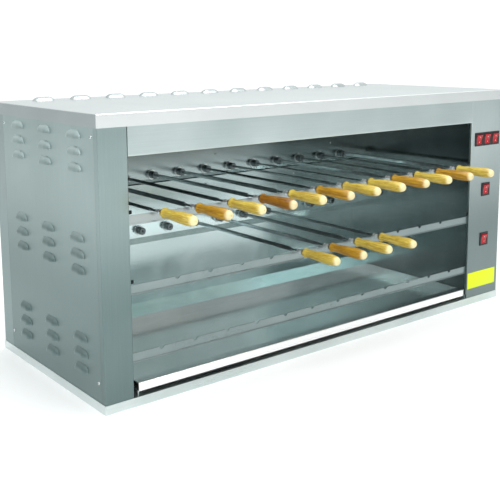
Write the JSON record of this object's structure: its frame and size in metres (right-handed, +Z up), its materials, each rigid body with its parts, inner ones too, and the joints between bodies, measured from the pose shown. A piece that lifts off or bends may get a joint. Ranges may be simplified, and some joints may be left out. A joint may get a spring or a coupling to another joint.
{
  "type": "electric skewer grill",
  "caption": "Table-top electric grill: an open-fronted folded steel cabinet with two tiers of geared, turning skewers, heaters under its roof and a drip tray that slides out.",
  "frame": {"origin": "centre of the bounding box on the counter, under the base frame", "axes": "+X along the front towards the switches, +Y from the open front to the back, +Z up"},
  "size_m": [1.3156, 0.646, 0.619],
  "materials": {
    "brushed_sheet": "brushed vertically",
    "base_sheet": "brushed along its length",
    "cover_sheet": "brushed along its length",
    "liner_sheet": "brushed, dulled by heat",
    "rail_sheet": "brushed along its length",
    "bush_steel": "turned",
    "heater_tube": "oxidised",
    "motor_case": "semi-gloss black",
    "switch_case": "fine matt black",
    "tray_sheet": "brushed along its length",
    "rocker_plastic": "translucent red",
    "spindle_steel": "blackened",
    "handle_wood": "oiled pale wood"
  },
  "bodies": {
    "cabinet": {"base_frame": "base_sheet", "left_post": "brushed_sheet", "control_post": "brushed_sheet", "header_panel": "brushed_sheet", "top_cover": "cover_sheet", "left_side_panel": "brushed_sheet", "right_side_panel": "brushed_sheet", "rear_cover": "brushed_sheet", "socket_panel": "brushed_sheet", "cavity_liner": "liner_sheet", "skewer_rails": "rail_sheet", "spindle_bushes": "bush_steel", "heating_elements": "heater_tube", "gearmotors": "motor_case", "switch_housings": "switch_case"},
    "tray": {"drip_tray": "tray_sheet"},
    "rocker_body_1": {"rocker_1": "rocker_plastic"},
    "rocker_body_2": {"rocker_2": "rocker_plastic"},
    "rocker_body_3": {"rocker_3": "rocker_plastic"},
    "rocker_body_4": {"rocker_4": "rocker_plastic"},
    "rocker_body_5": {"rocker_5": "rocker_plastic"},
    "socket_upper_01": {"spindle_upper_01": "spindle_steel"},
    "socket_upper_02": {"spindle_upper_02": "spindle_steel"},
    "socket_upper_03": {"spindle_upper_03": "spindle_steel"},
    "socket_upper_04": {"spindle_upper_04": "spindle_steel"},
    "socket_upper_05": {"spindle_upper_05": "spindle_steel"},
    "socket_upper_06": {"spindle_upper_06": "spindle_steel"},
    "socket_upper_07": {"spindle_upper_07": "spindle_steel"},
    "socket_upper_08": {"spindle_upper_08": "spindle_steel"},
    "socket_upper_09": {"spindle_upper_09": "spindle_steel"},
    "socket_upper_10": {"spindle_upper_10": "spindle_steel"},
    "socket_upper_11": {"spindle_upper_11": "spindle_steel"},
    "socket_upper_12": {"spindle_upper_12": "spindle_steel"},
    "rod_upper_01": {"skewer_upper_01": "handle_wood"},
    "rod_upper_02": {"skewer_upper_02": "handle_wood"},
    "rod_upper_03": {"skewer_upper_03": "handle_wood"},
    "rod_upper_04": {"skewer_upper_04": "handle_wood"},
    "rod_upper_05": {"skewer_upper_05": "handle_wood"},
    "rod_upper_06": {"skewer_upper_06": "handle_wood"},
    "rod_upper_07": {"skewer_upper_07": "handle_wood"},
    "rod_upper_08": {"skewer_upper_08": "handle_wood"},
    "rod_upper_09": {"skewer_upper_09": "handle_wood"},
    "rod_upper_10": {"skewer_upper_10": "handle_wood"},
    "rod_upper_11": {"skewer_upper_11": "handle_wood"},
    "rod_upper_12": {"skewer_upper_12": "handle_wood"},
    "socket_lower_01": {"spindle_lower_01": "spindle_steel"},
    "socket_lower_02": {"spindle_lower_02": "spindle_steel"},
    "socket_lower_03": {"spindle_lower_03": "spindle_steel"},
    "socket_lower_04": {"spindle_lower_04": "spindle_steel"},
    "socket_lower_05": {"spindle_lower_05": "spindle_steel"},
    "socket_lower_06": {"spindle_lower_06": "spindle_steel"},
    "socket_lower_07": {"spindle_lower_07": "spindle_steel"},
    "socket_lower_08": {"spindle_lower_08": "spindle_steel"},
    "socket_lower_09": {"spindle_lower_09": "spindle_steel"},
    "socket_lower_10": {"spindle_lower_10": "spindle_steel"},
    "socket_lower_11": {"spindle_lower_11": "spindle_steel"},
    "rod_lower_05": {"skewer_lower_05": "handle_wood"},
    "rod_lower_06": {"skewer_lower_06": "handle_wood"},
    "rod_lower_07": {"skewer_lower_07": "handle_wood"},
    "rod_lower_08": {"skewer_lower_08": "handle_wood"}
  },
  "joints": [
    {"name": "tray_slide", "type": "slide", "parent": "cabinet", "child": "tray", "axis": [0, -1, 0], "range_m": [0, 0.36]},
    {"name": "rocker_1_tilt", "type": "hinge", "parent": "cabinet", "child": "rocker_body_1", "pos_m": [0.5435, -0.1933, 0.47425], "axis": [1, 0, 0], "range_deg": [-18, 0]},
    {"name": "rocker_2_tilt", "type": "hinge", "parent": "cabinet", "child": "rocker_body_2", "pos_m": [0.58, -0.1933, 0.47425], "axis": [1, 0, 0], "range_deg": [-18, 0]},
    {"name": "rocker_3_tilt", "type": "hinge", "parent": "cabinet", "child": "rocker_body_3", "pos_m": [0.6165, -0.1933, 0.47425], "axis": [1, 0, 0], "range_deg": [-18, 0]},
    {"name": "rocker_4_tilt", "type": "hinge", "parent": "cabinet", "child": "rocker_body_4", "pos_m": [0.58, -0.1933, 0.32975], "axis": [1, 0, 0], "range_deg": [-18, 0]},
    {"name": "rocker_5_tilt", "type": "hinge", "parent": "cabinet", "child": "rocker_body_5", "pos_m": [0.58, -0.1933, 0.18525], "axis": [1, 0, 0], "range_deg": [-18, 0]},
    {"name": "upper_01_spin", "type": "hinge", "parent": "cabinet", "child": "socket_upper_01", "pos_m": [-0.509, 0.248, 0.402], "axis": [0, 1, 0], "continuous": true},
    {"name": "upper_02_spin", "type": "hinge", "parent": "cabinet", "child": "socket_upper_02", "pos_m": [-0.423, 0.248, 0.402], "axis": [0, 1, 0], "continuous": true},
    {"name": "upper_03_spin", "type": "hinge", "parent": "cabinet", "child": "socket_upper_03", "pos_m": [-0.337, 0.248, 0.402], "axis": [0, 1, 0], "continuous": true},
    {"name": "upper_04_spin", "type": "hinge", "parent": "cabinet", "child": "socket_upper_04", "pos_m": [-0.251, 0.248, 0.402], "axis": [0, 1, 0], "continuous": true},
    {"name": "upper_05_spin", "type": "hinge", "parent": "cabinet", "child": "socket_upper_05", "pos_m": [-0.165, 0.248, 0.402], "axis": [0, 1, 0], "continuous": true},
    {"name": "upper_06_spin", "type": "hinge", "parent": "cabinet", "child": "socket_upper_06", "pos_m": [-0.079, 0.248, 0.402], "axis": [0, 1, 0], "continuous": true},
    {"name": "upper_07_spin", "type": "hinge", "parent": "cabinet", "child": "socket_upper_07", "pos_m": [0.007, 0.248, 0.402], "axis": [0, 1, 0], "continuous": true},
    {"name": "upper_08_spin", "type": "hinge", "parent": "cabinet", "child": "socket_upper_08", "pos_m": [0.093, 0.248, 0.402], "axis": [0, 1, 0], "continuous": true},
    {"name": "upper_09_spin", "type": "hinge", "parent": "cabinet", "child": "socket_upper_09", "pos_m": [0.179, 0.248, 0.402], "axis": [0, 1, 0], "continuous": true},
    {"name": "upper_10_spin", "type": "hinge", "parent": "cabinet", "child": "socket_upper_10", "pos_m": [0.265, 0.248, 0.402], "axis": [0, 1, 0], "continuous": true},
    {"name": "upper_11_spin", "type": "hinge", "parent": "cabinet", "child": "socket_upper_11", "pos_m": [0.351, 0.248, 0.402], "axis": [0, 1, 0], "continuous": true},
    {"name": "upper_12_spin", "type": "hinge", "parent": "cabinet", "child": "socket_upper_12", "pos_m": [0.437, 0.248, 0.402], "axis": [0, 1, 0], "continuous": true},
    {"name": "upper_01_pull", "type": "slide", "parent": "socket_upper_01", "child": "rod_upper_01", "axis": [0, -1, 0], "range_m": [0, 0.46]},
    {"name": "upper_02_pull", "type": "slide", "parent": "socket_upper_02", "child": "rod_upper_02", "axis": [0, -1, 0], "range_m": [0, 0.46]},
    {"name": "upper_03_pull", "type": "slide", "parent": "socket_upper_03", "child": "rod_upper_03", "axis": [0, -1, 0], "range_m": [0, 0.46]},
    {"name": "upper_04_pull", "type": "slide", "parent": "socket_upper_04", "child": "rod_upper_04", "axis": [0, -1, 0], "range_m": [0, 0.46]},
    {"name": "upper_05_pull", "type": "slide", "parent": "socket_upper_05", "child": "rod_upper_05", "axis": [0, -1, 0], "range_m": [0, 0.46]},
    {"name": "upper_06_pull", "type": "slide", "parent": "socket_upper_06", "child": "rod_upper_06", "axis": [0, -1, 0], "range_m": [0, 0.46]},
    {"name": "upper_07_pull", "type": "slide", "parent": "socket_upper_07", "child": "rod_upper_07", "axis": [0, -1, 0], "range_m": [0, 0.46]},
    {"name": "upper_08_pull", "type": "slide", "parent": "socket_upper_08", "child": "rod_upper_08", "axis": [0, -1, 0], "range_m": [0, 0.46]},
    {"name": "upper_09_pull", "type": "slide", "parent": "socket_upper_09", "child": "rod_upper_09", "axis": [0, -1, 0], "range_m": [0, 0.46]},
    {"name": "upper_10_pull", "type": "slide", "parent": "socket_upper_10", "child": "rod_upper_10", "axis": [0, -1, 0], "range_m": [0, 0.46]},
    {"name": "upper_11_pull", "type": "slide", "parent": "socket_upper_11", "child": "rod_upper_11", "axis": [0, -1, 0], "range_m": [0, 0.46]},
    {"name": "upper_12_pull", "type": "slide", "parent": "socket_upper_12", "child": "rod_upper_12", "axis": [0, -1, 0], "range_m": [0, 0.46]},
    {"name": "lower_01_spin", "type": "hinge", "parent": "cabinet", "child": "socket_lower_01", "pos_m": [-0.466, 0.248, 0.2575], "axis": [0, 1, 0], "continuous": true},
    {"name": "lower_02_spin", "type": "hinge", "parent": "cabinet", "child": "socket_lower_02", "pos_m": [-0.38, 0.248, 0.2575], "axis": [0, 1, 0], "continuous": true},
    {"name": "lower_03_spin", "type": "hinge", "parent": "cabinet", "child": "socket_lower_03", "pos_m": [-0.294, 0.248, 0.2575], "axis": [0, 1, 0], "continuous": true},
    {"name": "lower_04_spin", "type": "hinge", "parent": "cabinet", "child": "socket_lower_04", "pos_m": [-0.208, 0.248, 0.2575], "axis": [0, 1, 0], "continuous": true},
    {"name": "lower_05_spin", "type": "hinge", "parent": "cabinet", "child": "socket_lower_05", "pos_m": [-0.122, 0.248, 0.2575], "axis": [0, 1, 0], "continuous": true},
    {"name": "lower_06_spin", "type": "hinge", "parent": "cabinet", "child": "socket_lower_06", "pos_m": [-0.036, 0.248, 0.2575], "axis": [0, 1, 0], "continuous": true},
    {"name": "lower_07_spin", "type": "hinge", "parent": "cabinet", "child": "socket_lower_07", "pos_m": [0.05, 0.248, 0.2575], "axis": [0, 1, 0], "continuous": true},
    {"name": "lower_08_spin", "type": "hinge", "parent": "cabinet", "child": "socket_lower_08", "pos_m": [0.136, 0.248, 0.2575], "axis": [0, 1, 0], "continuous": true},
    {"name": "lower_09_spin", "type": "hinge", "parent": "cabinet", "child": "socket_lower_09", "pos_m": [0.222, 0.248, 0.2575], "axis": [0, 1, 0], "continuous": true},
    {"name": "lower_10_spin", "type": "hinge", "parent": "cabinet", "child": "socket_lower_10", "pos_m": [0.308, 0.248, 0.2575], "axis": [0, 1, 0], "continuous": true},
    {"name": "lower_11_spin", "type": "hinge", "parent": "cabinet", "child": "socket_lower_11", "pos_m": [0.394, 0.248, 0.2575], "axis": [0, 1, 0], "continuous": true},
    {"name": "lower_05_pull", "type": "slide", "parent": "socket_lower_05", "child": "rod_lower_05", "axis": [0, -1, 0], "range_m": [0, 0.46]},
    {"name": "lower_06_pull", "type": "slide", "parent": "socket_lower_06", "child": "rod_lower_06", "axis": [0, -1, 0], "range_m": [0, 0.46]},
    {"name": "lower_07_pull", "type": "slide", "parent": "socket_lower_07", "child": "rod_lower_07", "axis": [0, -1, 0], "range_m": [0, 0.46]},
    {"name": "lower_08_pull", "type": "slide", "parent": "socket_lower_08", "child": "rod_lower_08", "axis": [0, -1, 0], "range_m": [0, 0.46]}
  ],
  "couplings": [
    {"joint": "upper_01_spin", "follows": "upper_12_spin", "ratio": -1},
    {"joint": "upper_02_spin", "follows": "upper_12_spin", "ratio": 1},
    {"joint": "upper_03_spin", "follows": "upper_12_spin", "ratio": -1},
    {"joint": "upper_04_spin", "follows": "upper_12_spin", "ratio": 1},
    {"joint": "upper_05_spin", "follows": "upper_12_spin", "ratio": -1},
    {"joint": "upper_06_spin", "follows": "upper_12_spin", "ratio": 1},
    {"joint": "upper_07_spin", "follows": "upper_12_spin", "ratio": -1},
    {"joint": "upper_08_spin", "follows": "upper_12_spin", "ratio": 1},
    {"joint": "upper_09_spin", "follows": "upper_12_spin", "ratio": -1},
    {"joint": "upper_10_spin", "follows": "upper_12_spin", "ratio": 1},
    {"joint": "upper_11_spin", "follows": "upper_12_spin", "ratio": -1},
    {"joint": "lower_01_spin", "follows": "lower_11_spin", "ratio": 1},
    {"joint": "lower_02_spin", "follows": "lower_11_spin", "ratio": -1},
    {"joint": "lower_03_spin", "follows": "lower_11_spin", "ratio": 1},
    {"joint": "lower_04_spin", "follows": "lower_11_spin", "ratio": -1},
    {"joint": "lower_05_spin", "follows": "lower_11_spin", "ratio": 1},
    {"joint": "lower_06_spin", "follows": "lower_11_spin", "ratio": -1},
    {"joint": "lower_07_spin", "follows": "lower_11_spin", "ratio": 1},
    {"joint": "lower_08_spin", "follows": "lower_11_spin", "ratio": -1},
    {"joint": "lower_09_spin", "follows": "lower_11_spin", "ratio": 1},
    {"joint": "lower_10_spin", "follows": "lower_11_spin", "ratio": -1}
  ]
}
